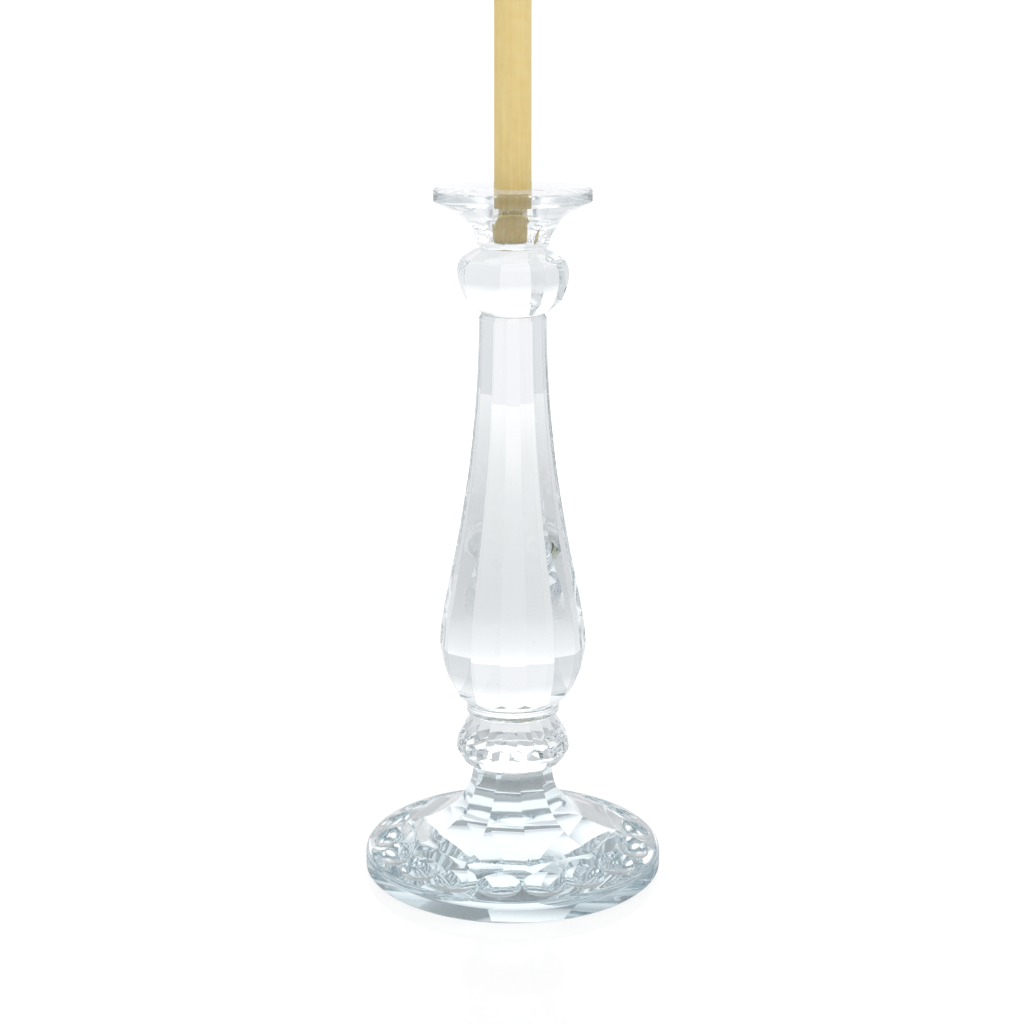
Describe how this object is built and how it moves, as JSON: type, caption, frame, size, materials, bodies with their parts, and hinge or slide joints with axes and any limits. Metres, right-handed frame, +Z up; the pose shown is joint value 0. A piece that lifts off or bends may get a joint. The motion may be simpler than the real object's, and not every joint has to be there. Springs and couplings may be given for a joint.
{
  "type": "glass candlestick",
  "caption": "Tall cut-glass candlestick: round scalloped foot, faceted knops, panelled baluster stem and a drip pan whose socket holds a lift-out dinner candle.",
  "frame": {"origin": "centre of the foot's flat underside, on the table", "axes": "+Z up along the candlestick's axis; -Y is the front, the side that the panels' turn angles are counted from"},
  "size_m": [0.184, 0.184, 0.649],
  "materials": {
    "foot_glass": "cut and polished",
    "clear_glass": "cut and polished",
    "clear_resin": "cured clear adhesive",
    "wax": "drawn paraffin wax, satin",
    "wick": "flat braided cotton"
  },
  "bodies": {
    "glass": {"base": "foot_glass", "lower_knop": "clear_glass", "stem": "clear_glass", "upper_knop": "clear_glass", "candle_cup": "clear_glass", "bond_base_knop": "clear_resin", "bond_knop_stem": "clear_resin", "bond_stem_knop": "clear_resin", "bond_knop_cup": "clear_resin"},
    "candle": {"candle": "wax", "wick": "wick"}
  },
  "joints": [
    {"name": "candle_lift", "type": "slide", "parent": "glass", "child": "candle", "axis": [0, 0, 1], "range_m": [0, 0.04]}
  ]
}
